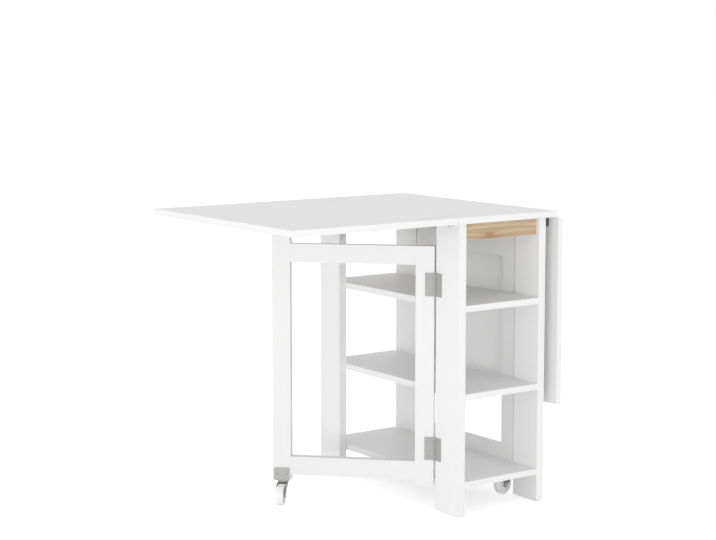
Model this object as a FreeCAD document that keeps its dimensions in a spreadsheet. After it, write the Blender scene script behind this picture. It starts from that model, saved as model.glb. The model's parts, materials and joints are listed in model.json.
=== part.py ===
"""Drop-leaf kitchen table: a narrow cabinet of open shelves, a fixed centre top with one leaf raised and
one hanging, and a swinging gate on a caster under each leaf.

Frame: +X across the cabinet towards the hanging leaf, +Y along its long side, +Z up, floor at Z = 0.
The origin is on the floor, under the middle of the whole table's box. Millimetres.
"""
import FreeCAD, Part
import os
import re
import Sketcher

V = FreeCAD.Vector
Z_AXIS = V(0, 0, 1)

doc = FreeCAD.newDocument("drop_leaf_kitchen_table")

# ---------------------------------------------------------------------------------------------------------
# Driving sizes
# ---------------------------------------------------------------------------------------------------------

SIZES = (
    # top and leaves
    ("table_height", 760, "floor to the top face"),
    ("top_thickness", 16, "board of the centre top and both leaves"),
    ("top_side_overhang", 21, "centre top past the stiles, on the leaf sides"),
    ("top_end_overhang", 21, "top past the stiles, at both ends"),
    ("leaf_length", 486, "each leaf, from its hinge to its free edge"),
    ("seam_gap", 1, "slot between the centre top and a level leaf"),
    # cabinet
    ("cabinet_width", 284, "over the outer faces of the stiles"),
    ("cabinet_depth", 608, "over the ends of the stiles"),
    ("stile_width", 92, "corner board, along Y"),
    ("stile_thickness", 22, "corner board, along X"),
    ("shelf_thickness", 16, "shelf board"),
    ("bottom_shelf_height", 88, "floor to the top face of the lowest shelf"),
    ("end_rail_height", 45, "oak rail under the top at each end"),
    ("end_rail_thickness", 16, "oak rail, along Y"),
    ("end_rail_setback", 12, "from the stile ends to the face of the oak rail"),
    ("glide_diameter", 18, "plastic glide under each stile"),
    ("glide_height", 2, "height of a glide under its stile"),
    # gates
    ("gate_thickness", 22, "board of the gate frames"),
    ("gate_leg_width", 48, "outer upright, which carries the leaf"),
    ("gate_stile_width", 48, "upright at the hinges"),
    ("gate_rail_height", 48, "top and bottom rails"),
    ("gate_drop", 66, "underside of the top to the top of the gate's hinge stile"),
    ("gate_rail_rise", 14, "foot of the hinge stile to the bottom rail"),
    ("gate_hinge_gap", 3, "between the cabinet stile and the hinged gate"),
    ("gate_free_gap", 2, "between the closed gate and the far stile"),
    ("leg_play", 0.3, "between the top of the leg and the leaf that it carries"),
    ("gate_open_angle", 45, "how far the left gate stands open, in degrees"),
    # steel butt hinges
    ("hinge_length", 60, "along the pin"),
    ("hinge_gate_wing", 25, "wing of a gate hinge, from the pin to its edge"),
    ("hinge_leaf_wing", 25, "wing screwed to a leaf"),
    ("hinge_stile_clearance", 1.5, "between a cabinet stile and the wing under the centre top"),
    ("hinge_plate", 1.5, "thickness of the wings"),
    ("hinge_knuckle", 6, "outer diameter of the rolled knuckles"),
    ("hinge_pin_diameter", 3, "hinge pin"),
    ("hinge_running_gap", 0.05, "radial gap between the pin and a turning knuckle"),
    ("hinge_end_gap", 0.2, "gap between neighbouring knuckles"),
    ("hinge_hole_diameter", 3.5, "screw holes of the wings"),
    ("hinge_hole_spacing", 40, "between the two screw holes of a wing"),
    ("hinge_hole_edge", 9, "from the edge of a wing to its screw holes"),
    ("gate_hinge_top", 67, "top of the gate's hinge stile to the upper hinge"),
    ("gate_hinge_foot", 67, "foot of the gate's hinge stile to the lower hinge"),
    ("leaf_hinge_inset", 36, "end of the top to a leaf hinge"),
    # swivel casters
    ("wheel_diameter", 50, "caster wheel"),
    ("wheel_width", 19, "caster wheel"),
    ("tyre_depth", 6, "radial thickness of the tyre"),
    ("tyre_chamfer", 2, "bevelled shoulder of the tyre"),
    ("hub_web", 7, "thin part of the hub, between its rim and its boss"),
    ("hub_boss", 14, "diameter of the boss round the axle"),
    ("hub_rim", 3, "radial thickness of the hub's rim"),
    ("caster_trail", 27, "swivel axis to the axle"),
    ("fork_plate", 2, "sheet of the fork"),
    ("fork_side_gap", 1, "between the wheel and each arm"),
    ("fork_crown_gap", 2, "between the wheel and the crown"),
    ("fork_back", 13, "crown, from the swivel axis away from the wheel"),
    ("fork_front", 24, "crown, from the swivel axis towards the wheel"),
    ("fork_skirt", 12, "depth of the arms under the swivel axis"),
    ("fork_brow", 5, "depth of the crown's edges"),
    ("axle_diameter", 6, "axle rivet"),
    ("axle_boss", 13, "width of the arms round the axle"),
    ("axle_head", 10, "head of the axle rivet"),
    ("axle_head_height", 1.5, "head of the axle rivet"),
    ("axle_running_gap", 0.08, "radial gap between a rivet and the part that turns on it"),
    ("king_pin_diameter", 8, "swivel rivet"),
    ("king_pin_head", 14, "head of the swivel rivet"),
    ("king_pin_head_height", 1.5, "head of the swivel rivet"),
    ("swivel_gap", 0.2, "play of the fork on its rivet"),
    ("swivel_cup", 28, "upper bearing cup, fixed to the bracket"),
    ("swivel_cup_height", 2.6, "upper bearing cup"),
    ("swivel_dish", 24, "lower bearing dish, on the fork"),
    ("swivel_dish_height", 3.2, "lower bearing dish"),
    ("bracket_plate", 2, "sheet of the angle bracket on the leg"),
    ("bracket_width", 41, "along the leg's face"),
    ("bracket_flange", 32, "height of the bracket on the leg's face"),
    ("bracket_corner", 5, "rounded corners of the bracket"),
    ("bracket_hole_diameter", 4.5, "screw holes of the bracket"),
    ("bracket_hole_spacing", 24, "between the two screw holes of the bracket"),
    ("left_caster_turn", 180, "left caster's trail, in degrees from the inner side of its gate"),
    ("right_caster_turn", 4, "right caster's trail, in degrees from the inner side of its gate"),
)

# Places that follow from the driving sizes. Later lines use earlier ones.
PLACES = (
    ("underside", "table_height - top_thickness"),
    ("top_depth", "cabinet_depth + 2 * top_end_overhang"),
    ("center_width", "cabinet_width + 2 * top_side_overhang"),
    ("cabinet_x", "(leaf_length + seam_gap / 2 - hinge_knuckle / 2 - top_thickness) / 2"),
    ("half_width", "cabinet_width / 2"),
    ("inner_half", "cabinet_width / 2 - stile_thickness"),
    ("half_depth", "cabinet_depth / 2"),
    ("shelf_pitch", "(underside - bottom_shelf_height + shelf_thickness) / 3"),
    ("pin_out", "hinge_knuckle / 2"),
    # gates: a gate's own frame has the hinge pin at its origin, +X into the cabinet, +Y along the gate
    ("hinge_x", "half_width + pin_out"),
    ("hinge_y", "half_depth - stile_width - gate_hinge_gap / 2"),
    ("gate_start", "gate_hinge_gap / 2"),
    ("gate_end", "cabinet_depth - 2 * stile_width - gate_hinge_gap / 2 - gate_free_gap"),
    ("gate_back", "pin_out + gate_thickness"),
    ("gate_top", "underside - gate_drop"),
    ("crown_under", "wheel_diameter + fork_crown_gap"),
    ("crown_top", "crown_under + fork_plate"),
    ("dish_top", "crown_top + swivel_dish_height"),
    ("cup_under", "dish_top + swivel_gap"),
    ("bracket_under", "cup_under + swivel_cup_height"),
    ("gate_foot", "bracket_under + bracket_plate"),
    ("rail_low", "gate_foot + gate_rail_rise"),
    ("leg_top", "underside - leg_play"),
    ("upper_hinge_z", "gate_top - gate_hinge_top - hinge_length / 2"),
    ("lower_hinge_z", "gate_foot + gate_hinge_foot + hinge_length / 2"),
    # casters
    ("swivel_in", "pin_out + gate_thickness / 2"),
    ("swivel_reach", "gate_end - gate_leg_width / 2"),
    ("left_swivel_x", "cabinet_x - hinge_x + swivel_in * cos(gate_open_angle)"
                      " - swivel_reach * sin(gate_open_angle)"),
    ("left_swivel_y", "-hinge_y + swivel_in * sin(gate_open_angle) + swivel_reach * cos(gate_open_angle)"),
    ("left_caster_angle", "gate_open_angle + left_caster_turn"),
    ("right_swivel_x", "cabinet_x + hinge_x - swivel_in"),
    ("right_swivel_y", "hinge_y - swivel_reach"),
    ("right_caster_angle", "180 + right_caster_turn"),
    ("fork_half", "wheel_width / 2 + fork_side_gap + fork_plate"),
    ("axle_z", "wheel_diameter / 2"),
    # leaf hinges: pins under the seams
    ("seam_x", "center_width / 2 + seam_gap / 2"),
    ("seam_z", "underside - pin_out"),
    ("leaf_hinge_y", "top_depth / 2 - leaf_hinge_inset - hinge_length / 2"),
    ("hinge_center_wing", "top_side_overhang + seam_gap / 2 - hinge_stile_clearance"),
)

SHEET_OF = {name: "sizes" for name, _, _ in SIZES}
SHEET_OF.update({name: "places" for name, _ in PLACES})


def formula(text):
    """Turn a formula of plain size names into one that names their sheets."""
    return re.sub(r"[a-z]\w*", lambda word: f"{SHEET_OF[word[0]]}.{word[0]}" if word[0] in SHEET_OF
                  else word[0], str(text))


def make_sheets():
    sizes = doc.addObject("Spreadsheet::Sheet", "sizes")
    for row, (name, value, note) in enumerate(SIZES, start=1):
        sizes.set(f"A{row}", name)
        sizes.set(f"B{row}", str(value))
        sizes.set(f"C{row}", note)
        sizes.setAlias(f"B{row}", name)
    doc.recompute()
    places = doc.addObject("Spreadsheet::Sheet", "places")
    for row, (name, text) in enumerate(PLACES, start=1):
        places.set(f"A{row}", name)
        places.setAlias(f"B{row}", name)
        places.set(f"B{row}", "=" + formula(text).replace("places.", ""))
    doc.recompute()
    return sizes, places


sizes, places = make_sheets()


def value(text):
    """The present value of a formula, for a sketch's first drawing and for picking edges."""
    names = {name: getattr(places if SHEET_OF[name] == "places" else sizes, name) for name in SHEET_OF
             if re.search(rf"\b{name}\b", str(text))}
    return float(FreeCAD.Units.Quantity(substituted(text, names)).Value)


def substituted(text, names):
    return re.sub(r"[a-z]\w*", lambda word: f"({names[word[0]]:.9f})" if word[0] in names else word[0],
                  str(text))


# ---------------------------------------------------------------------------------------------------------
# Frames: where the pieces of each group stand
# ---------------------------------------------------------------------------------------------------------

# a turn is the axis that it goes about and its angle in degrees
NO_TURN = ("0; 0; 1", "0")
TURNED_ROUND = ("0; 0; 1", "180")
# turned pieces are drawn along Z: this lays them along a frame's Y
ALONG_Y = ("1; 0; 0", "90")
# butt hinges are drawn with the pin along Z and their board on the +X side: this one puts a hinge
# under a board, with the pin along Y
UNDER_BOARD = ("1; 1; 1", "-120")
HANGING = ("0; 1; 0", "90")

FRAMES = {
    # name: (x, y, z, turn)
    "cabinet": ("cabinet_x", "0", "0", NO_TURN),
    "left_post": ("cabinet_x - hinge_x", "-hinge_y", "0", NO_TURN),
    "right_post": ("cabinet_x + hinge_x", "hinge_y", "0", TURNED_ROUND),
    "left_gate": ("cabinet_x - hinge_x", "-hinge_y", "0", ("0; 0; 1", "gate_open_angle")),
    "right_gate": ("cabinet_x + hinge_x", "hinge_y", "0", TURNED_ROUND),
    "left_caster": ("left_swivel_x", "left_swivel_y", "0", ("0; 0; 1", "left_caster_angle")),
    "right_caster": ("right_swivel_x", "right_swivel_y", "0", ("0; 0; 1", "right_caster_angle")),
    "left_seam": ("cabinet_x - seam_x", "0", "seam_z", TURNED_ROUND),
    "right_seam": ("cabinet_x + seam_x", "0", "seam_z", NO_TURN),
    "left_leaf": ("cabinet_x - seam_x", "0", "seam_z", TURNED_ROUND),
    "right_leaf": ("cabinet_x + seam_x", "0", "seam_z", HANGING),
}


def placement(x, y, z, turn):
    axis, angle = turn
    return f"placement(vector({x}; {y}; {z}); rotation(vector({axis}); {angle}))"


def place(thing, frame, turn=NO_TURN, shift=("0", "0", "0")):
    """Stand a piece in a frame, after its own turn and shift."""
    thing.setExpression("Placement", formula(f"{placement(*FRAMES[frame])} * {placement(*shift, turn)}"))


# ---------------------------------------------------------------------------------------------------------
# Sketches and features
# ---------------------------------------------------------------------------------------------------------

def new_body(label):
    body = doc.addObject("PartDesign::Body", label)
    body.Label = label
    return body


def new_sketch(body, plane, offset):
    sketch = body.newObject("Sketcher::SketchObject", f"{body.Name}_sketch")
    support = next(feature for feature in body.Origin.OriginFeatures if feature.Role == plane)
    sketch.AttachmentSupport = [(support, "")]
    sketch.MapMode = "FlatFace"
    sketch.setExpression("AttachmentOffset.Base.z", formula(offset))
    return sketch


def draw_polygon(sketch, points):
    """Closed outline whose corners are formulas measured from the sketch's origin."""
    first = sketch.GeometryCount
    spots = [V(value(u), value(v), 0) for u, v in points]
    count = len(points)
    for index in range(count):
        sketch.addGeometry(Part.LineSegment(spots[index], spots[(index + 1) % count]), False)
    for index in range(count):
        line, after = first + index, first + (index + 1) % count
        sketch.addConstraint(Sketcher.Constraint("Coincident", line, 2, after, 1))
    for index, (u, v) in enumerate(points):
        for kind, text in (("DistanceX", u), ("DistanceY", v)):
            number = sketch.addConstraint(Sketcher.Constraint(kind, -1, 1, first + index, 1, value(text)))
            sketch.setExpression(f"Constraints[{number}]", formula(text))


def draw_rectangle(sketch, low, high):
    draw_polygon(sketch, [low, (high[0], low[1]), high, (low[0], high[1])])


def draw_circle(sketch, center, diameter):
    spot = V(value(center[0]), value(center[1]), 0)
    circle = sketch.addGeometry(Part.Circle(spot, Z_AXIS, value(diameter) / 2), False)
    number = sketch.addConstraint(Sketcher.Constraint("Diameter", circle, value(diameter)))
    sketch.setExpression(f"Constraints[{number}]", formula(diameter))
    for kind, text in (("DistanceX", center[0]), ("DistanceY", center[1])):
        number = sketch.addConstraint(Sketcher.Constraint(kind, -1, 1, circle, 3, value(text)))
        sketch.setExpression(f"Constraints[{number}]", formula(text))


def pad(body, sketch, length, reverse=False, middle=False):
    feature = body.newObject("PartDesign::Pad", f"{body.Name}_pad")
    feature.Profile = sketch
    feature.setExpression("Length", formula(length))
    feature.Reversed = reverse
    feature.Midplane = middle


def pocket(body, sketch):
    """Cut a sketch right through its body, both ways."""
    feature = body.newObject("PartDesign::Pocket", f"{body.Name}_pocket")
    feature.Profile = sketch
    feature.Type = "ThroughAll"
    feature.Midplane = True


def revolve(label, points):
    """A turned piece: its half outline in the XZ plane, as (radius, height), turned about Z."""
    body = new_body(label)
    sketch = new_sketch(body, "XZ_Plane", "0")
    draw_polygon(sketch, points)
    feature = body.newObject("PartDesign::Revolution", f"{body.Name}_turning")
    feature.Profile = sketch
    feature.ReferenceAxis = (sketch, ["V_Axis"])
    feature.Angle = 360
    return body


def board(label, frame, plane, low, high, start, thickness):
    """A flat board: a rectangle on a plane of its frame, padded from start by its thickness."""
    body = new_body(label)
    # the XZ plane faces -Y, so a pad that grows towards +Y starts at minus its place and is reversed
    backward = plane == "XZ_Plane"
    sketch = new_sketch(body, plane, f"-({start})" if backward else start)
    draw_rectangle(sketch, low, high)
    pad(body, sketch, thickness, reverse=backward)
    place(body, frame)
    nodes.append(body)


def between(sign, outer, size):
    """Low and high end of a stretch that ends at an outer place on the side that sign gives."""
    if sign < 0:
        return f"-({outer})", f"-({outer}) + {size}"
    return f"{outer} - {size}", outer


def group(label, copies):
    """One node of several equal solids: each copy is (piece, frame, turn, shift)."""
    links = []
    for number, (piece, frame, turn, shift) in enumerate(copies):
        link = doc.addObject("App::Link", f"{label}_{number}")
        link.LinkedObject = piece
        place(link, frame, turn, shift)
        links.append(link)
    node = doc.addObject("Part::Compound", label)
    node.Label = label
    node.Links = links
    nodes.append(node)


nodes = []
SIDES = (("left", -1), ("right", 1))
ENDS = (("near", -1), ("far", 1))


# ---------------------------------------------------------------------------------------------------------
# Cabinet
# ---------------------------------------------------------------------------------------------------------

SHELVES = (("shelf_bottom", 0), ("shelf_middle", 1), ("shelf_upper", 2))


def make_stiles():
    """Corner boards, which run from the glides to the top and carry the shelves between them."""
    for end, y_sign in ENDS:
        for side, x_sign in SIDES:
            y_low, y_high = between(y_sign, "half_depth", "stile_width")
            inner, _ = between(x_sign, "half_width", "stile_thickness")
            board(f"stile_{end}_{side}", "cabinet", "YZ_Plane", (y_low, "glide_height"),
                  (y_high, "underside"), inner, "stile_thickness")


def make_shelves():
    """Shelves, flush with the stile ends, which share the height under the top equally."""
    for label, index in SHELVES:
        board(label, "cabinet", "XY_Plane", ("-inner_half", "-half_depth"), ("inner_half", "half_depth"),
              f"bottom_shelf_height + {index} * shelf_pitch - shelf_thickness", "shelf_thickness")


def make_end_rails():
    """Oak rails between the stiles, under the top and set back from the ends."""
    for end, sign in ENDS:
        y_low, _ = between(sign, "half_depth - end_rail_setback", "end_rail_thickness")
        board(f"end_rail_{end}", "cabinet", "XZ_Plane", ("-inner_half", "underside - end_rail_height"),
              ("inner_half", "underside"), y_low, "end_rail_thickness")


def make_glides():
    glide = revolve("glide", [("0", "0"), ("glide_diameter / 2", "0"),
                              ("glide_diameter / 2", "glide_height"), ("0", "glide_height")])
    group("floor_glides", [(glide, "cabinet", NO_TURN,
                            (f"{x_sign} * (half_width - stile_thickness / 2)",
                             f"{y_sign} * (half_depth - stile_width / 2)", "0"))
                           for _, x_sign in SIDES for _, y_sign in ENDS])


# ---------------------------------------------------------------------------------------------------------
# Top and leaves
# ---------------------------------------------------------------------------------------------------------

def make_top():
    board("top_center", "cabinet", "XY_Plane", ("-center_width / 2", "-top_depth / 2"),
          ("center_width / 2", "top_depth / 2"), "underside", "top_thickness")


def make_leaf(side):
    """Leaf in its hinge's frame: the pin at the origin and the leaf level on the +X side."""
    board(f"leaf_{side}", f"{side}_leaf", "XY_Plane", ("seam_gap / 2", "-top_depth / 2"),
          ("seam_gap / 2 + leaf_length", "top_depth / 2"), "pin_out", "top_thickness")


# ---------------------------------------------------------------------------------------------------------
# Butt hinges
# ---------------------------------------------------------------------------------------------------------

KNUCKLES = 3
# the end knuckles stay with the fixed wing, the middle one turns with the moving wing
FIXED_KNUCKLES, MOVING_KNUCKLES = (0, 2), (1,)


def make_wing(label, sign, wing, cut_away, bore, play):
    """One wing with its rolled knuckles. The pin is along Z, and the board that carries it is at +X."""
    body = new_body(label)
    plate = new_sketch(body, "XY_Plane", "-hinge_length / 2")
    low_y, high_y = ("0", wing) if sign > 0 else (f"-({wing})", "0")
    draw_rectangle(plate, ("pin_out - hinge_plate", low_y), ("pin_out", high_y))
    pad(body, plate, "hinge_length")
    barrel = new_sketch(body, "XY_Plane", "-hinge_length / 2")
    draw_circle(barrel, ("0", "0"), "hinge_knuckle")
    pad(body, barrel, "hinge_length")
    slots = new_sketch(body, "YZ_Plane", "0")
    for index in cut_away:
        foot = f"-hinge_length / 2 + {index} * hinge_length / {KNUCKLES}"
        draw_rectangle(slots, ("-(pin_out + hinge_end_gap)", f"{foot} - {play}"),
                       ("pin_out + hinge_end_gap", f"{foot} + hinge_length / {KNUCKLES} + {play}"))
    pocket(body, slots)
    hole = new_sketch(body, "XY_Plane", "0")
    draw_circle(hole, ("0", "0"), bore)
    pocket(body, hole)
    screw_holes = new_sketch(body, "YZ_Plane", "pin_out - hinge_plate")
    for end in (-1, 1):
        draw_circle(screw_holes, (f"{sign} * ({wing} - hinge_hole_edge)", f"{end} * hinge_hole_spacing / 2"),
                    "hinge_hole_diameter")
    pocket(body, screw_holes)
    return body


def make_hinge_parts():
    """The wings of each kind of hinge and the pin that they share."""
    fixed = (MOVING_KNUCKLES, "hinge_pin_diameter", "0")
    moving = (FIXED_KNUCKLES, "hinge_pin_diameter + 2 * hinge_running_gap", "hinge_end_gap")
    return {
        "post_wing": make_wing("post_wing", -1, "hinge_gate_wing", *fixed),
        "gate_wing": make_wing("gate_wing", 1, "hinge_gate_wing", *moving),
        "center_wing": make_wing("center_wing", -1, "hinge_center_wing", *fixed),
        "leaf_wing": make_wing("leaf_wing", 1, "hinge_leaf_wing", *moving),
        "pin": revolve("hinge_pin", [("0", "-hinge_length / 2"), ("hinge_pin_diameter / 2",
                                     "-hinge_length / 2"), ("hinge_pin_diameter / 2",
                                     "hinge_length / 2"), ("0", "hinge_length / 2")]),
    }


def make_gate_hinges(side, parts):
    """Upper and lower hinge of a gate, with their wings on the outer faces."""
    for piece, frame, name in (("post_wing", "post", "post_wings"), ("gate_wing", "gate", "gate_wings"),
                               ("pin", "post", "pins")):
        group(f"gate_{side}_hinge_{name}", [(parts[piece], f"{side}_{frame}", NO_TURN, ("0", "0", height))
                                            for height in ("upper_hinge_z", "lower_hinge_z")])


def make_leaf_hinges(side, parts):
    """Two hinges along a seam, under the top."""
    for piece, frame, name in (("center_wing", "seam", "center_wings"), ("leaf_wing", "leaf", "leaf_wings"),
                               ("pin", "seam", "pins")):
        group(f"leaf_{side}_hinge_{name}", [(parts[piece], f"{side}_{frame}", UNDER_BOARD,
                                             ("0", f"{sign} * leaf_hinge_y", "0")) for _, sign in ENDS])


# ---------------------------------------------------------------------------------------------------------
# Gates
# ---------------------------------------------------------------------------------------------------------

def make_gate(side):
    """Open frame of two uprights and two rails, in its hinge's frame."""
    frame = f"{side}_gate"
    leg_side = "gate_end - gate_leg_width"
    stile_side = "gate_start + gate_stile_width"

    for name, low, high in (
            ("leg", (leg_side, "gate_foot"), ("gate_end", "leg_top")),
            ("stile", ("gate_start", "gate_foot"), (stile_side, "gate_top")),
            ("top_rail", (stile_side, "gate_top - gate_rail_height"), (leg_side, "gate_top")),
            ("bottom_rail", (stile_side, "rail_low"), (leg_side, "rail_low + gate_rail_height"))):
        board(f"gate_{side}_{name}", frame, "YZ_Plane", low, high, "pin_out", "gate_thickness")


# ---------------------------------------------------------------------------------------------------------
# Swivel casters
# ---------------------------------------------------------------------------------------------------------

TOLERANCE = 0.01


def near(first, second):
    return abs(first - second) < TOLERANCE


def round_corners(body, radius, chosen):
    """Round the body's edges that the chosen test picks by their middle point and direction."""
    doc.recompute()
    base = body.Tip
    picked = [f"Edge{number}" for number, edge in enumerate(base.Shape.Edges, start=1)
              if isinstance(edge.Curve, Part.Line)
              and chosen(edge.CenterOfMass, edge.tangentAt(edge.FirstParameter))]
    feature = body.newObject("PartDesign::Fillet", f"{body.Name}_corners")
    feature.Base = (base, picked)
    feature.setExpression("Radius", formula(radius))
    doc.recompute()


def make_bracket(side):
    """Angle bracket: one flange on the leg's outer face, one under its foot with the bearing cup."""
    body = new_body(f"caster_{side}_bracket")
    profile = new_sketch(body, "XZ_Plane", "-swivel_reach")
    draw_polygon(profile, [("pin_out - bracket_plate", "bracket_under"),
                           ("gate_back", "bracket_under"), ("gate_back", "gate_foot"),
                           ("pin_out", "gate_foot"), ("pin_out", "gate_foot + bracket_flange"),
                           ("pin_out - bracket_plate", "gate_foot + bracket_flange")])
    pad(body, profile, "bracket_width", middle=True)
    top = value("gate_foot + bracket_flange")
    round_corners(body, "bracket_corner",
                  lambda middle, way: near(middle.z, top) and near(abs(way.x), 1))
    cup = new_sketch(body, "XY_Plane", "bracket_under")
    draw_circle(cup, ("swivel_in", "swivel_reach"), "swivel_cup")
    pad(body, cup, "swivel_cup_height", reverse=True)
    rivet = new_sketch(body, "XY_Plane", "gate_foot")
    draw_circle(rivet, ("swivel_in", "swivel_reach"), "king_pin_diameter")
    pocket(body, rivet)
    screw_holes = new_sketch(body, "YZ_Plane", "pin_out - bracket_plate")
    for end in (-1, 1):
        draw_circle(screw_holes, (f"swivel_reach + {end} * bracket_hole_spacing / 2",
                                  "gate_foot + bracket_flange / 2"), "bracket_hole_diameter")
    pocket(body, screw_holes)
    place(body, f"{side}_gate")
    nodes.append(body)


def make_fork(side):
    """Pressed fork in the caster's own frame: swivel axis at the origin, wheel trailing towards +X."""
    body = new_body(f"caster_{side}_fork")
    arms = new_sketch(body, "XZ_Plane", "0")
    draw_polygon(arms, [("-fork_back", "crown_top"), ("fork_front", "crown_top"),
                        ("fork_front", "crown_top - fork_brow"),
                        ("caster_trail + axle_boss / 2", "axle_z"),
                        ("caster_trail - axle_boss / 2", "axle_z"),
                        ("0", "crown_top - fork_skirt"), ("-fork_back", "crown_top - fork_brow")])
    pad(body, arms, "2 * fork_half", middle=True)
    boss = new_sketch(body, "XZ_Plane", "0")
    draw_circle(boss, ("caster_trail", "axle_z"), "axle_boss")
    pad(body, boss, "2 * fork_half", middle=True)
    crown, half = value("crown_top"), value("fork_half")
    round_corners(body, "fork_plate", lambda middle, way: near(middle.z, crown)
                  and near(abs(middle.y), half) and near(abs(way.x), 1))
    slot = new_sketch(body, "YZ_Plane", "0")
    draw_rectangle(slot, ("-(fork_half - fork_plate)", "0"), ("fork_half - fork_plate", "crown_under"))
    pocket(body, slot)
    dish = new_sketch(body, "XY_Plane", "crown_top")
    draw_circle(dish, ("0", "0"), "swivel_dish")
    pad(body, dish, "swivel_dish_height")
    swivel = new_sketch(body, "XY_Plane", "0")
    draw_circle(swivel, ("0", "0"), "king_pin_diameter + 2 * axle_running_gap")
    pocket(body, swivel)
    axle = new_sketch(body, "XZ_Plane", "0")
    draw_circle(axle, ("caster_trail", "axle_z"), "axle_diameter")
    pocket(body, axle)
    place(body, f"{side}_caster")
    nodes.append(body)


def make_wheel_parts():
    """Turned pieces, along Z: the tyre and hub about the wheel's middle, the axle and the swivel rivet."""
    half, rim = "wheel_width / 2", "(wheel_diameter / 2 - tyre_depth)"
    radius, shoulder = "wheel_diameter / 2", "wheel_width / 2 - tyre_chamfer"
    inner_rim = f"{rim} - hub_rim"
    bore = "axle_diameter / 2 + axle_running_gap"
    axle_end = "fork_half + axle_head_height"
    pin_low = "crown_under - swivel_gap"
    return {
        "tyre": revolve("tyre", [(rim, f"-{half}"), (f"{radius} - tyre_chamfer", f"-{half}"),
                                 (radius, f"-({shoulder})"), (radius, shoulder),
                                 (f"{radius} - tyre_chamfer", half), (rim, half)]),
        "hub": revolve("hub", [(bore, f"-{half}"), ("hub_boss / 2", f"-{half}"),
                               ("hub_boss / 2", "-hub_web / 2"), (inner_rim, "-hub_web / 2"),
                               (inner_rim, f"-({shoulder})"), (rim, f"-({shoulder})"),
                               (rim, shoulder), (inner_rim, shoulder), (inner_rim, "hub_web / 2"),
                               ("hub_boss / 2", "hub_web / 2"), ("hub_boss / 2", half),
                               (bore, half)]),
        "axle": revolve("axle", [("0", f"-({axle_end})"), ("axle_head / 2", f"-({axle_end})"),
                                 ("axle_head / 2", "-fork_half"), ("axle_diameter / 2", "-fork_half"),
                                 ("axle_diameter / 2", "fork_half"), ("axle_head / 2", "fork_half"),
                                 ("axle_head / 2", axle_end), ("0", axle_end)]),
        # from its lower head, under the crown, up to the bracket's upper face
        "king_pin": revolve("king_pin", [("0", f"{pin_low} - king_pin_head_height"),
                                         ("king_pin_head / 2", f"{pin_low} - king_pin_head_height"),
                                         ("king_pin_head / 2", pin_low),
                                         ("king_pin_diameter / 2", pin_low),
                                         ("king_pin_diameter / 2", "gate_foot"), ("0", "gate_foot")]),
    }


def make_caster(side, parts):
    make_bracket(side)
    make_fork(side)
    hub_place = ("caster_trail", "0", "axle_z")
    for name in ("tyre", "hub", "axle"):
        group(f"caster_{side}_{name}", [(parts[name], f"{side}_caster", ALONG_Y, hub_place)])
    group(f"caster_{side}_king_pin", [(parts["king_pin"], f"{side}_gate", NO_TURN,
                                       ("swivel_in", "swivel_reach", "0"))])


# ---------------------------------------------------------------------------------------------------------
# Build, check and write
# ---------------------------------------------------------------------------------------------------------

def check(node_list):
    for thing in doc.Objects:
        if {"Invalid", "Error"} & set(thing.State):
            raise RuntimeError(f"{thing.Label} is {thing.State}")
    for node in node_list:
        if node.Shape.isNull() or not node.Shape.isValid() or not node.Shape.Solids:
            raise RuntimeError(f"{node.Label} has no valid solid")


def main():
    make_stiles()
    make_shelves()
    make_end_rails()
    make_glides()
    make_top()
    hinge_parts = make_hinge_parts()
    wheel_parts = make_wheel_parts()
    for side, _ in SIDES:
        make_leaf(side)
        make_leaf_hinges(side, hinge_parts)
        make_gate(side)
        make_gate_hinges(side, hinge_parts)
        make_caster(side, wheel_parts)
    doc.recompute()
    check(nodes)
    os.makedirs("parts", exist_ok=True)
    for node in nodes:
        node.Shape.exportStep(os.path.join("parts", f"{node.Label}.step"))
    print(f"{len(nodes)} nodes, {sum(len(node.Shape.Solids) for node in nodes)} solids")


main()
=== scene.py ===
"""Looks of the drop-leaf kitchen table: materials, screws and fittings, plain studio and camera.

The frame is in metres, with +X across the cabinet towards the hanging leaf, +Y along its long side
and +Z up.
"""
import json
import math

import bmesh
import bpy
from mathutils import Matrix, Vector


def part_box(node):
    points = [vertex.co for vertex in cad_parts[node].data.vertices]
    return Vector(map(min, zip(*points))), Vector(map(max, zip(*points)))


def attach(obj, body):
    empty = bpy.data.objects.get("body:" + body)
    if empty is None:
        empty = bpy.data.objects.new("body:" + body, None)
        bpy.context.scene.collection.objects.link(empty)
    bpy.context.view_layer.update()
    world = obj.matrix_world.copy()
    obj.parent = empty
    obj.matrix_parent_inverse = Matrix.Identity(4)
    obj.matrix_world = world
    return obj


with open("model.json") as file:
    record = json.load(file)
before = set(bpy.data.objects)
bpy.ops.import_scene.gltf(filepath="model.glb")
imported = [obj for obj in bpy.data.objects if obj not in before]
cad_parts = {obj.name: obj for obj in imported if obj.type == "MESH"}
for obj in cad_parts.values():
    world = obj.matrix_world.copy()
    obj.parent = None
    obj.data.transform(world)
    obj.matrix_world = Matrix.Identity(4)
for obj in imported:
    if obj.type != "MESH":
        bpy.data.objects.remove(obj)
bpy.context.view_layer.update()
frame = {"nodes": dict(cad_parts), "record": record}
NODES = frame["nodes"]


# ---------------------------------------------------------------------------------------------
# Building materials from nodes
# ---------------------------------------------------------------------------------------------

def rgba(color):
    """A colour as a socket takes it. A socket that brings a colour stays as it is."""
    return color if isinstance(color, bpy.types.NodeSocket) else (*color, 1.0)


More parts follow.
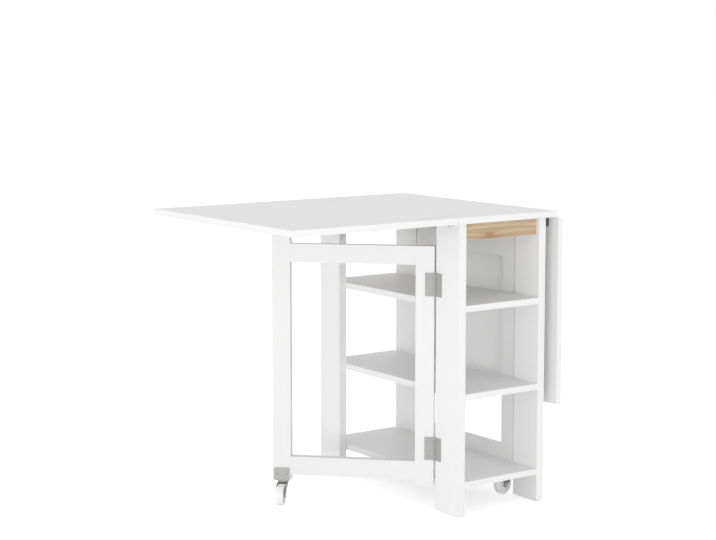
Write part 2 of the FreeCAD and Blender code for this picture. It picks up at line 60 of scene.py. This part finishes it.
class Paint:
    """A material under construction: short calls that add and link shader nodes."""

    def __init__(self, name, metallic=0.0, specular=0.5):
        self.material = bpy.data.materials.new(name)
        self.material.use_nodes = True
        self.tree = self.material.node_tree
        self.shader = next(n for n in self.tree.nodes if n.type == "BSDF_PRINCIPLED")
        self.shader.inputs["Metallic"].default_value = metallic
        self.shader.inputs["Specular IOR Level"].default_value = specular
        self.place = self.add("ShaderNodeTexCoord").outputs["Object"]

    def add(self, kind, **settings):
        node = self.tree.nodes.new(kind)
        for key, value in settings.items():
            setattr(node, key, value)
        return node

    def put(self, socket, value):
        """Link a socket to another one, or set its number."""
        if isinstance(value, bpy.types.NodeSocket):
            self.tree.links.new(value, socket)
        else:
            socket.default_value = value

    def stretched(self, scale, shift=(0, 0, 0)):
        """The place on the object, stretched along the axes."""
        node = self.add("ShaderNodeMapping")
        self.put(node.inputs["Vector"], self.place)
        node.inputs["Scale"].default_value = scale
        node.inputs["Location"].default_value = shift
        return node.outputs["Vector"]

    def noise(self, vector, scale, detail, roughness=0.5):
        node = self.add("ShaderNodeTexNoise")
        self.put(node.inputs["Vector"], vector)
        node.inputs["Scale"].default_value = scale
        node.inputs["Detail"].default_value = detail
        node.inputs["Roughness"].default_value = roughness
        return node.outputs["Fac"]

    def ramp(self, value, stops):
        node = self.add("ShaderNodeValToRGB")
        self.put(node.inputs["Fac"], value)
        elements = node.color_ramp.elements
        while len(elements) < len(stops):
            elements.new(0.5)
        for element, (spot, color) in zip(elements, stops):
            element.position = spot
            element.color = rgba(color)
        return node.outputs["Color"]

    def math(self, operation, first, second=0.0, third=0.0):
        node = self.add("ShaderNodeMath", operation=operation)
        for socket, value in zip(node.inputs, (first, second, third)):
            self.put(socket, value)
        return node.outputs["Value"]

    def vector(self, operation, *values):
        node = self.add("ShaderNodeVectorMath", operation=operation)
        for socket, value in zip(node.inputs, values):
            self.put(socket, value)
        return node.outputs["Value" if operation == "LENGTH" else "Vector"]

    def axes(self, vector):
        """The X, Y and Z of a vector, by their letters."""
        node = self.add("ShaderNodeSeparateXYZ")
        self.put(node.inputs["Vector"], vector)
        return node.outputs

    def mix(self, factor, first, second, blend="MIX"):
        node = self.add("ShaderNodeMix", data_type="RGBA", blend_type=blend)
        self.put(node.inputs["Factor"], factor)
        self.put(node.inputs["A"], rgba(first))
        self.put(node.inputs["B"], rgba(second))
        return next(s for s in node.outputs if s.type == "RGBA")

    def range(self, value, low, high):
        """A value from 0 to 1, spread from low to high and held at these ends beyond."""
        node = self.add("ShaderNodeMapRange")
        self.put(node.inputs["Value"], value)
        node.inputs["To Min"].default_value = low
        node.inputs["To Max"].default_value = high
        return node.outputs["Result"]

    def bump(self, height, distance, strength, normal):
        node = self.add("ShaderNodeBump")
        self.put(node.inputs["Height"], height)
        node.inputs["Distance"].default_value = distance
        node.inputs["Strength"].default_value = strength
        self.put(node.inputs["Normal"], normal)
        return node.outputs["Normal"]

    def soft_edges(self, radius):
        """Normals that round the edges off in the shading."""
        node = self.add("ShaderNodeBevel")
        node.inputs["Radius"].default_value = radius
        return node.outputs["Normal"]

    def finish(self, color, roughness, normal):
        for name, value in (("Base Color", color), ("Roughness", roughness), ("Normal", normal)):
            self.put(self.shader.inputs[name], value)
        return self.material


# ---------------------------------------------------------------------------------------------
# White boards
# ---------------------------------------------------------------------------------------------

WHITE = (0.86, 0.86, 0.858)
# the gates' white is the board white made darker: painted shade that offsets the extra lamp light
# the gates catch
GATE_SHADED_WHITE, GATE_GLOSS = (0.775, 0.775, 0.773), 0.42
BOARD_GLOSS = {"white_board": 0.45, "white_top": 0.4}
BOARD_SPECULAR = 0.4

# scales of the faint clouds, of the change in gloss and of the pearl grain
CLOUD_SCALE, HAZE_SCALE, PEARL_SCALE = 7.0, 14.0, 2600.0
CLOUD_SHADE, HAZE_SPREAD = 0.98, 0.06
PEARL_HEIGHT, PEARL_STRENGTH = 0.00004, 0.35
BOARD_EDGE_RADIUS = 0.0007

# an edge band ends this far into the face, at a hairline of this half width
BAND, HALF_HAIRLINE = 0.0009, 0.00012
BAND_SHADE, BAND_GLOSS = 0.995, -0.05
HAIRLINE_COLOR, HAIRLINE_STRENGTH = (0.36, 0.35, 0.33), 0.08


def board_white(paint, white, gloss):
    """Colour, roughness and relief of a white board: faint clouds, a pearl grain and soft edges."""
    clouds = paint.noise(paint.place, CLOUD_SCALE, 2.0)
    tint = paint.mix(clouds, [c * CLOUD_SHADE for c in white], white)
    haze = paint.noise(paint.place, HAZE_SCALE, 1.0)
    rough = paint.range(haze, gloss - HAZE_SPREAD, gloss + HAZE_SPREAD)
    pearl = paint.noise(paint.place, PEARL_SCALE, 2.0)
    edges = paint.soft_edges(BOARD_EDGE_RADIUS)
    return tint, rough, paint.bump(pearl, PEARL_HEIGHT, PEARL_STRENGTH, edges)


def lacquered_board(name, white, gloss):
    """Board of the gates, lacquered all over."""
    paint = Paint(name, specular=BOARD_SPECULAR)
    return paint.finish(*board_white(paint, white, gloss))


def banded_board(node, white, gloss):
    """Melamine faced board: a glossier band on its edges, with a hairline where it ends."""
    paint = Paint(f"melamine_{node}", specular=BOARD_SPECULAR)
    low, high = (Vector(corner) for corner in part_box(node))
    size = high - low
    thin = "XYZ"[list(size).index(min(size))]
    inside = paint.vector("SUBTRACT", paint.place, (low + high) / 2)
    depth = paint.axes(paint.vector("SUBTRACT", size / 2, paint.vector("ABSOLUTE", inside)))
    from_edge = paint.math("MINIMUM", *(depth[axis] for axis in "XYZ" if axis != thin))
    band = paint.math("LESS_THAN", from_edge, BAND)
    from_seam = paint.math("ABSOLUTE", paint.math("SUBTRACT", from_edge, BAND))
    seam = paint.math("LESS_THAN", from_seam, HALF_HAIRLINE)
    tint, rough, normal = board_white(paint, white, gloss)
    tint = paint.mix(band, tint, [c * BAND_SHADE for c in white])
    tint = paint.mix(paint.math("MULTIPLY", seam, HAIRLINE_STRENGTH), tint, HAIRLINE_COLOR)
    rough = paint.math("MULTIPLY_ADD", band, BAND_GLOSS, rough)
    return paint.finish(tint, rough, normal)


# ---------------------------------------------------------------------------------------------
# Oak
# ---------------------------------------------------------------------------------------------

# height of the rails' lower edge, and of the rails
RAIL_LOW, RAIL_HEIGHT = 0.699, 0.045
# the knot pushes the streaks aside and darkens the wood; its reach is short where squeeze is high
KNOT, KNOT_SQUEEZE, KNOT_FADE = (0.200, 0.0, 0.705), (75.0, 0.0, 190.0), -1.1
KNOT_PUSH, KNOT_COLOR, KNOT_SPREAD, KNOT_STRENGTH = 7.0, (0.30, 0.13, 0.05), 1.6, 0.55
KNOT_BLUR = 0.1
STREAK_SCALE, STREAK_WANDER, WANDER_SCALE = 420.0, 7.0, 1.6
# how each pattern is stretched along X, Y and Z
WANDER_STRETCH, FIBRE_STRETCH = (3.0, 3.0, 26.0), (12.0, 60.0, 900.0)
CLOUDY_STRETCH, CLOUDY_SHIFT = (5.0, 10.0, 40.0), (0.3, 0.0, 0.7)
PORE_STRETCH = (40.0, 200.0, 2400.0)
FIBRE_ROUGHNESS = 0.6
STREAK_SHARE, FIBRE_SHARE, CLOUDY_SHARE = 0.2, 0.55, 0.3
OAK_TONES = ((0.2, (0.37, 0.25, 0.14)), (0.42, (0.54, 0.42, 0.275)),
             (0.6, (0.65, 0.53, 0.37)), (0.85, (0.75, 0.64, 0.49)))
OAK_LOW_TINT, OAK_HIGH_TINT = (0.93, 0.84, 0.76), (1.0, 1.0, 1.0)
PORE_COLOR, PORE_FLOOR, PORE_STRENGTH = (0.30, 0.16, 0.07), 0.64, 0.35
PORE_HEIGHT, PORE_RELIEF = 0.00006, 0.5
OAK_EDGE_RADIUS, OAK_SPECULAR, OAK_GLOSS = 0.0006, 0.35, (0.42, 0.56)


def oak_decor(name):
    """Oak decor with the grain along X: fine straight streaks, paler upwards, pores and a knot."""
    paint = Paint(name, specular=OAK_SPECULAR)
    height = paint.axes(paint.place)["Z"]

    from_knot = paint.vector("MULTIPLY", paint.vector("SUBTRACT", paint.place, KNOT), KNOT_SQUEEZE)
    fade = paint.math("MULTIPLY", paint.vector("LENGTH", from_knot), KNOT_FADE)
    around = paint.math("POWER", 2.0, fade)

    wander = paint.noise(paint.stretched(WANDER_STRETCH), WANDER_SCALE, 3.0)
    wave = paint.math("MULTIPLY_ADD", height, STREAK_SCALE,
                      paint.math("MULTIPLY", wander, STREAK_WANDER))
    rings = paint.math("SINE", paint.math("MULTIPLY_ADD", around, KNOT_PUSH, wave))
    streaks = paint.range(rings, 0.0, 1.0)
    fibre = paint.noise(paint.stretched(FIBRE_STRETCH), 1.0, 4.0, FIBRE_ROUGHNESS)
    cloudy = paint.noise(paint.stretched(CLOUDY_STRETCH, CLOUDY_SHIFT), 1.0, 2.0)
    blend = paint.math("MULTIPLY", cloudy, CLOUDY_SHARE)
    blend = paint.math("MULTIPLY_ADD", fibre, FIBRE_SHARE, blend)
    blend = paint.math("MULTIPLY_ADD", streaks, STREAK_SHARE, blend)
    wood = paint.ramp(blend, OAK_TONES)

    upwards = paint.math("MULTIPLY_ADD", height, 1 / RAIL_HEIGHT, -RAIL_LOW / RAIL_HEIGHT)
    wood = paint.mix(1.0, wood, paint.mix(upwards, OAK_LOW_TINT, OAK_HIGH_TINT), "MULTIPLY")
    heart = paint.math("SMOOTH_MIN", 1.0, paint.math("MULTIPLY", around, KNOT_SPREAD), KNOT_BLUR)
    wood = paint.mix(paint.math("MULTIPLY", heart, KNOT_STRENGTH), wood, KNOT_COLOR)
    pores = paint.noise(paint.stretched(PORE_STRETCH), 1.0, 2.0)
    dark = paint.math("GREATER_THAN", pores, PORE_FLOOR)
    wood = paint.mix(paint.math("MULTIPLY", dark, PORE_STRENGTH), wood, PORE_COLOR)

    edges = paint.soft_edges(OAK_EDGE_RADIUS)
    return paint.finish(wood, paint.range(fibre, *OAK_GLOSS),
                        paint.bump(pores, PORE_HEIGHT, PORE_RELIEF, edges))


# ---------------------------------------------------------------------------------------------
# Steel and plastic
# ---------------------------------------------------------------------------------------------

DRAWN_LINES = (900.0, 900.0, 30.0)
BLOOM_SCALE, STEEL_EDGE_RADIUS = 160.0, 0.0004
BLOOM_SHARE, LINE_SHARE = 0.5, 0.5
# how far the roughness falls and rises round its mean
GLOSS_FALL, GLOSS_RISE = 0.08, 0.1
LINE_HEIGHT, LINE_RELIEF = 0.00003, 0.3
MOULD_SCALE, MOULD_HEIGHT, MOULD_RELIEF = 1200.0, 0.00002, 0.4
MOULD_CLOUD_SCALE, MOULD_CLOUD_SHADE, MOULD_SPREAD = 60.0, 0.97, 0.04
MOULD_EDGE_RADIUS = 0.0005


def plated_steel(name, shade, rough, brush=DRAWN_LINES, worn=0.1, metallic=1.0):
    """Zinc plated sheet: fine drawn lines, a faint cloudy bloom and soft edges."""
    paint = Paint(name, metallic=metallic)
    lines = paint.noise(paint.stretched(brush), 1.0, 2.0)
    bloom = paint.noise(paint.place, BLOOM_SCALE, 3.0)
    tone = paint.math("MULTIPLY_ADD", bloom, BLOOM_SHARE,
                      paint.math("MULTIPLY", lines, LINE_SHARE))
    dark = [c * (1 - worn) for c in shade]
    light = [c * (1 + worn) for c in shade]
    edges = paint.soft_edges(STEEL_EDGE_RADIUS)
    return paint.finish(paint.mix(tone, dark, light),
                        paint.range(tone, rough - GLOSS_FALL, rough + GLOSS_RISE),
                        paint.bump(lines, LINE_HEIGHT, LINE_RELIEF, edges))


def moulded(name, shade, rough, grain_scale=MOULD_SCALE, depth=MOULD_HEIGHT):
    """Moulded plastic or soft tread: even colour with a fine mould texture."""
    paint = Paint(name)
    grain = paint.noise(paint.place, grain_scale, 2.0)
    cloud = paint.noise(paint.place, MOULD_CLOUD_SCALE, 2.0)
    color = paint.mix(cloud, [c * MOULD_CLOUD_SHADE for c in shade], shade)
    edges = paint.soft_edges(MOULD_EDGE_RADIUS)
    return paint.finish(color, paint.range(cloud, rough - MOULD_SPREAD, rough + MOULD_SPREAD),
                        paint.bump(grain, depth, MOULD_RELIEF, edges))


MATERIALS = {
    "white_gate": lacquered_board("gate_white_painted_shade", GATE_SHADED_WHITE, GATE_GLOSS),
    "oak_rail": oak_decor("oak"),
    "hinge_steel": plated_steel("hinge_zinc", (0.39, 0.39, 0.385), 0.6,
                                brush=(420.0, 420.0, 9.0), worn=0.2, metallic=0.15),
    "bracket_steel": plated_steel("bracket_zinc", (0.40, 0.40, 0.395), 0.55, metallic=0.3),
    # the fork's zinc is darker than the bracket's: painted shade for the shadow the fork sits in
    "fork_steel": plated_steel("fork_zinc_painted_shade", (0.27, 0.27, 0.266), 0.4),
    "rivet_steel": plated_steel("bright_steel", (0.5, 0.5, 0.5), 0.3,
                                brush=(300.0, 300.0, 300.0)),
    "wheel_hub": moulded("hub_white", (0.88, 0.88, 0.875), 0.32),
    "wheel_tyre": moulded("tread_white", (0.86, 0.86, 0.855), 0.5,
                          grain_scale=500.0, depth=0.00004),
    "glide_plastic": moulded("glide_white", (0.75, 0.75, 0.73), 0.4),
}
# the leaf hinges get a darker copy of the hinge steel: painted shade for the dark gaps between the
# boards where they sit
LEAF_HINGE_SHADED_STEEL = plated_steel("hinge_steel_painted_shade", (0.24, 0.24, 0.237), 0.5, metallic=0.4)


def dress_nodes():
    """Give each solid the material of its slot."""
    for part in frame["record"]["subparts"]:
        node, slot = part["node"], part["material_slot"]
        if slot in BOARD_GLOSS:
            material = banded_board(node, WHITE, BOARD_GLOSS[slot])
        # leaf hinges take the darker hinge steel, which is painted shade
        elif node.startswith("leaf_") and slot == "hinge_steel":
            material = LEAF_HINGE_SHADED_STEEL
        else:
            material = MATERIALS[slot]
        for place in NODES[node].material_slots:
            place.material = material


# ---------------------------------------------------------------------------------------------
# Screws and fittings
# ---------------------------------------------------------------------------------------------

# radius of a head, height of its rim, and of its dome above the rim
HINGE_SCREW = (0.0027, 0.00008, 0.0004)
BRACKET_SCREW = (0.0036, 0.0002, 0.0007)
CAM_LOCK = (0.0072, 0.00025, 0.0002)
# shares of the radius and of the dome, from the rim up
HEAD_PROFILE = ((0.93, 0.35), (0.78, 0.68))
# shares of the radius: length and half width of the cross recess's arms, and its depth
RECESS_ARM, RECESS_HALF, RECESS_DEPTH = 0.62, 0.15, 0.28
# the recess starts at this share of the dome and narrows to this share of its outline
RECESS_TOP, RECESS_TAPER = 0.86, 0.8
HEAD_CORNERS = 64
SHARP_ANGLE = 35.0

CABINET_X = 0.23375
HINGE_X, HINGE_Y = 0.145, 0.2105
HINGE_HEIGHTS = (0.581, 0.159)
PIN_OUT, WING, WING_PLATE, CENTER_WING = 0.003, 0.025, 0.0015, 0.020
HOLE_EDGE, HOLE_SPACING = 0.009, 0.040
SEAM_X, SEAM_Z, LEAF_HINGE_Y = 0.1635, 0.741, 0.259
SWIVEL_REACH = 0.3965
BRACKET_HOLE_Z, BRACKET_HOLE_SPACING, BRACKET_PLATE = 0.078, 0.024, 0.002
LOCK_X, LOCK_Y, LOCK_SPREAD = 0.096, 0.258, 0.027

# side, and the angles of its gate when closed and in the photograph
GATES = (("left", 0.0, 45.0), ("right", 180.0, 180.0))
SHELVES = ("shelf_bottom", "shelf_middle", "shelf_upper")

# degrees that the cross recess turns from one screw to the next, so that none lines up
HEIGHT_SPIN, END_SPIN, BRACKET_SPIN = 23, 31, 17
SEAM_SPIN, LEAF_SPIN = 40, 55
LOCK_SPREAD_SPIN, LOCK_END_SPIN = 45, 20


def ring(mesh, radii, height):
    """Points round the Z axis at one height and at even angles, each at its own radius."""
    count = len(radii)
    return [mesh.verts.new((r * math.cos(2 * math.pi * k / count),
                            r * math.sin(2 * math.pi * k / count), height))
            for k, r in enumerate(radii)]


def bridge(mesh, lower, upper):
    """Faces between two rings."""
    count = len(lower)
    for k in range(count):
        after = (k + 1) % count
        mesh.faces.new((lower[k], lower[after], upper[after], upper[k]))


def cross_outline(count, arm, half):
    """Radii of a cross recess at even angles, from the length and half width of its arms."""
    radii = []
    for k in range(count):
        angle = 2 * math.pi * k / count % (math.pi / 2)
        from_arm = min(angle, math.pi / 2 - angle)
        radii.append(min(arm, half / max(math.sin(from_arm), 1e-6)))
    return radii


def screw_head(radius, rim, dome):
    """A screw head on its seat at Z = 0: low rim, domed face and a cross recess."""
    mesh = bmesh.new()
    profile = [(1.0, 0.0), (1.0, rim)]
    profile += [(share, rim + dome * rise) for share, rise in HEAD_PROFILE]
    rings = [ring(mesh, [radius * share] * HEAD_CORNERS, height) for share, height in profile]
    lips = cross_outline(HEAD_CORNERS, arm=radius * RECESS_ARM, half=radius * RECESS_HALF)
    top = rim + dome * RECESS_TOP
    for height, share in ((top, 1.0), (top - radius * RECESS_DEPTH, RECESS_TAPER)):
        rings.append(ring(mesh, [r * share for r in lips], height))
    for lower, upper in zip(rings, rings[1:]):
        bridge(mesh, lower, upper)
    mesh.faces.new(rings[-1])
    mesh.faces.new(list(reversed(rings[0])))
    return mesh


def gather(name, source, places, body, slot):
    """One object of several copies of a mesh, each put in place by its matrix."""
    whole = bmesh.new()
    part = bpy.data.meshes.new(name + "_one")
    source.to_mesh(part)
    source.free()
    for matrix in places:
        before = set(whole.verts)
        whole.from_mesh(part)
        added = [v for v in whole.verts if v not in before]
        bmesh.ops.transform(whole, matrix=matrix, verts=added)
    bpy.data.meshes.remove(part)
    mesh = bpy.data.meshes.new(name)
    whole.to_mesh(mesh)
    whole.free()
    thing = bpy.data.objects.new(name, mesh)
    bpy.context.collection.objects.link(thing)
    mesh.materials.append(MATERIALS[slot])
    mesh.shade_smooth()
    mesh.set_sharp_from_angle(angle=math.radians(SHARP_ANGLE))
    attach(thing, body)


def facing(spot, normal, spin):
    """Matrix that puts a piece drawn along +Z at a spot, facing along a normal."""
    turn = Vector(normal).to_track_quat("Z", "Y").to_matrix().to_4x4()
    return Matrix.Translation(Vector(spot)) @ turn @ Matrix.Rotation(math.radians(spin), 4, "Z")


def gate_matrix(side, angle):
    """Matrix of a gate's hinge line, with the gate along its +Y and the outside at its -X."""
    sign = -1 if side == "left" else 1
    hinge = Vector((CABINET_X + sign * HINGE_X, sign * HINGE_Y, 0.0))
    return Matrix.Translation(hinge) @ Matrix.Rotation(math.radians(angle), 4, "Z")


def make_gate_screws():
    """Screws of the gate hinges, on the stiles and the gates, and of the caster brackets."""
    outward = (-1, 0, 0)
    for side, closed, angle in GATES:
        for label, body, turn, sign in (("post", "cabinet", closed, -1),
                                        ("gate", f"{side}_gate", angle, 1)):
            base = gate_matrix(side, turn)
            places = []
            for number, height in enumerate(HINGE_HEIGHTS):
                for end in (-1, 1):
                    spot = (PIN_OUT - WING_PLATE, sign * (WING - HOLE_EDGE),
                            height + end * HOLE_SPACING / 2)
                    spin = HEIGHT_SPIN * number + END_SPIN * end * sign
                    places.append(base @ facing(spot, outward, spin))
            gather(f"{side}_{label}_hinge_screws", screw_head(*HINGE_SCREW), places, body,
                   "hinge_steel")
        base = gate_matrix(side, angle)
        places = []
        for end in (-1, 1):
            spot = (PIN_OUT - BRACKET_PLATE, SWIVEL_REACH + end * BRACKET_HOLE_SPACING / 2,
                    BRACKET_HOLE_Z)
            places.append(base @ facing(spot, outward, BRACKET_SPIN * end))
        gather(f"{side}_bracket_screws", screw_head(*BRACKET_SCREW), places, f"{side}_gate",
               "bracket_steel")


def make_leaf_screws():
    """Screws of the leaf hinges: under the centre top, the raised leaf and the hanging leaf."""
    down, inward = (0, 0, -1), (-1, 0, 0)
    plate, reach = PIN_OUT - WING_PLATE, WING - HOLE_EDGE
    rows = [row * LEAF_HINGE_Y + end * HOLE_SPACING / 2 for row in (-1, 1) for end in (-1, 1)]
    # side, its sign, body of the leaf, place of the leaf's screws from the seam and their facing
    leaves = (("left", -1, "cabinet", (-reach, plate), down),
              ("right", 1, "right_leaf", (plate, -reach), inward))
    for side, sign, body, (leaf_x, leaf_z), leaf_normal in leaves:
        seam = Vector((CABINET_X + sign * SEAM_X, 0.0, SEAM_Z))
        center_x = -sign * (CENTER_WING - HOLE_EDGE)
        places = [facing(seam + Vector((center_x, y, plate)), down, SEAM_SPIN * k)
                  for k, y in enumerate(rows)]
        gather(f"{side}_seam_screws", screw_head(*HINGE_SCREW), places, "cabinet", "rivet_steel")
        places = [facing(seam + Vector((leaf_x, y, leaf_z)), leaf_normal, LEAF_SPIN * k)
                  for k, y in enumerate(rows)]
        gather(f"{side}_leaf_screws", screw_head(*HINGE_SCREW), places, body, "rivet_steel")


def make_shelf_locks():
    """Cam locks in the undersides of the shelves, near the stiles."""
    places = []
    for shelf in SHELVES:
        low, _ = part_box(shelf)
        for side in (-1, 1):
            for end in (-1, 1):
                for across in (-1, 1):
                    spot = (CABINET_X + side * LOCK_X, end * LOCK_Y + across * LOCK_SPREAD, low[2])
                    spin = LOCK_SPREAD_SPIN * across + LOCK_END_SPIN * end
                    places.append(facing(spot, (0, 0, -1), spin))
    gather("shelf_cam_locks", screw_head(*CAM_LOCK), places, "cabinet", "rivet_steel")


# ---------------------------------------------------------------------------------------------
# Studio
# ---------------------------------------------------------------------------------------------

HORIZON_LIGHT, ZENITH_LIGHT = 1.03, 0.70
WHITE_LIGHT = (1.0, 1.0, 1.0, 1.0)
FLOOR_SIZE, FLOOR_Z = 60.0, -0.0005
FLOOR_SHADE, FLOOR_GLOW = 0.95, 0.45
# name, place, the point that it faces, width and height in metres, and watts
LAMPS = (
    ("left_strip", (-6.5, -0.8, 0.32), (0.15, 0.0, 0.1), 7.0, 0.6, 50.0),
    ("front_fill", (-3.1, -4.9, 0.42), (0.15, 0.0, 0.2), 4.4, 0.8, 82.0),
)


def seen_ray(tree):
    """1 for the rays that show a backdrop: the camera's, and those in metal, gloss and glass."""
    ray = tree.nodes.new("ShaderNodeLightPath")
    total = ray.outputs["Is Camera Ray"]
    for name in ("Is Glossy Ray", "Is Transmission Ray"):
        most = tree.nodes.new("ShaderNodeMath")
        most.operation = "MAXIMUM"
        tree.links.new(total, most.inputs[0])
        tree.links.new(ray.outputs[name], most.inputs[1])
        total = most.outputs[0]
    return total


def make_floor():
    """Pale floor that keeps the object's shadow and is white elsewhere."""
    bpy.ops.mesh.primitive_plane_add(size=FLOOR_SIZE, location=(0.0, 0.0, FLOOR_Z))
    floor = bpy.context.object
    floor.name = "studio_floor"
    material = bpy.data.materials.new("studio_white")
    material.use_nodes = True
    tree = material.node_tree
    tree.nodes.clear()
    matte = tree.nodes.new("ShaderNodeBsdfDiffuse")
    matte.inputs["Color"].default_value = (FLOOR_SHADE, FLOOR_SHADE, FLOOR_SHADE, 1.0)
    strength = tree.nodes.new("ShaderNodeMath")
    strength.operation = "MULTIPLY"
    tree.links.new(seen_ray(tree), strength.inputs[0])
    strength.inputs[1].default_value = FLOOR_GLOW
    glow = tree.nodes.new("ShaderNodeEmission")
    tree.links.new(strength.outputs[0], glow.inputs["Strength"])
    both = tree.nodes.new("ShaderNodeAddShader")
    tree.links.new(matte.outputs[0], both.inputs[0])
    tree.links.new(glow.outputs[0], both.inputs[1])
    output = tree.nodes.new("ShaderNodeOutputMaterial")
    tree.links.new(both.outputs[0], output.inputs["Surface"])
    floor.data.materials.append(material)


def make_world():
    """Soft dome, brightest near the horizon, and plain white to the rays that show a backdrop."""
    world = bpy.data.worlds.new("studio")
    bpy.context.scene.world = world
    world.use_nodes = True
    tree = world.node_tree
    tree.nodes.clear()
    coordinates = tree.nodes.new("ShaderNodeTexCoord")
    split = tree.nodes.new("ShaderNodeSeparateXYZ")
    tree.links.new(coordinates.outputs["Generated"], split.inputs[0])
    height = tree.nodes.new("ShaderNodeMapRange")
    tree.links.new(split.outputs["Z"], height.inputs["Value"])
    height.inputs["To Min"].default_value = HORIZON_LIGHT
    height.inputs["To Max"].default_value = ZENITH_LIGHT
    dome = tree.nodes.new("ShaderNodeBackground")
    dome.inputs["Color"].default_value = WHITE_LIGHT
    tree.links.new(height.outputs["Result"], dome.inputs["Strength"])
    shown = tree.nodes.new("ShaderNodeBackground")
    shown.inputs["Color"].default_value = WHITE_LIGHT
    choice = tree.nodes.new("ShaderNodeMixShader")
    tree.links.new(seen_ray(tree), choice.inputs[0])
    tree.links.new(dome.outputs[0], choice.inputs[1])
    tree.links.new(shown.outputs[0], choice.inputs[2])
    output = tree.nodes.new("ShaderNodeOutputWorld")
    tree.links.new(choice.outputs[0], output.inputs["Surface"])


def soft_box(name, spot, aim, width, height, power):
    """Rectangular lamp that the camera does not see."""
    light = bpy.data.lights.new(name, "AREA")
    light.shape = "RECTANGLE"
    light.size, light.size_y = width, height
    light.energy = power
    lamp = bpy.data.objects.new(name, light)
    lamp.location = spot
    lamp.rotation_mode = "QUATERNION"
    lamp.rotation_quaternion = (Vector(aim) - Vector(spot)).to_track_quat("-Z", "Y")
    lamp.visible_camera = False
    bpy.context.collection.objects.link(lamp)


# ---------------------------------------------------------------------------------------------
# Camera
# ---------------------------------------------------------------------------------------------

# The photograph's uprights are parallel, as from a level camera with the picture cropped below its
# horizon. That would need a shift of -0.31, which pushes the object out of the other views, so this
# camera stands nearly in the same place, looks down a little and keeps a sixth of that shift.
IMAGE_WIDTH = 716
FOCAL_PIXELS = 1709.16
SHIFT_Y = -0.05
CAMERA_SPOT = (-2.554984, -3.561911, 1.184668)
CAMERA_YAW, CAMERA_PITCH = -35.6682, 6.3643
SENSOR = 36.0


def make_camera():
    camera = bpy.data.cameras.new("camera")
    camera.sensor_width = SENSOR
    camera.lens = FOCAL_PIXELS * SENSOR / IMAGE_WIDTH
    camera.shift_y = SHIFT_Y
    stand = bpy.data.objects.new("camera", camera)
    stand.location = CAMERA_SPOT
    stand.rotation_euler = (math.radians(90.0 - CAMERA_PITCH), 0.0, math.radians(CAMERA_YAW))
    bpy.context.collection.objects.link(stand)
    bpy.context.scene.camera = stand


dress_nodes()
make_gate_screws()
make_leaf_screws()
make_shelf_locks()
make_floor()
make_world()
for lamp_settings in LAMPS:
    soft_box(*lamp_settings)
make_camera()
bpy.context.scene.view_settings.view_transform = "Standard"
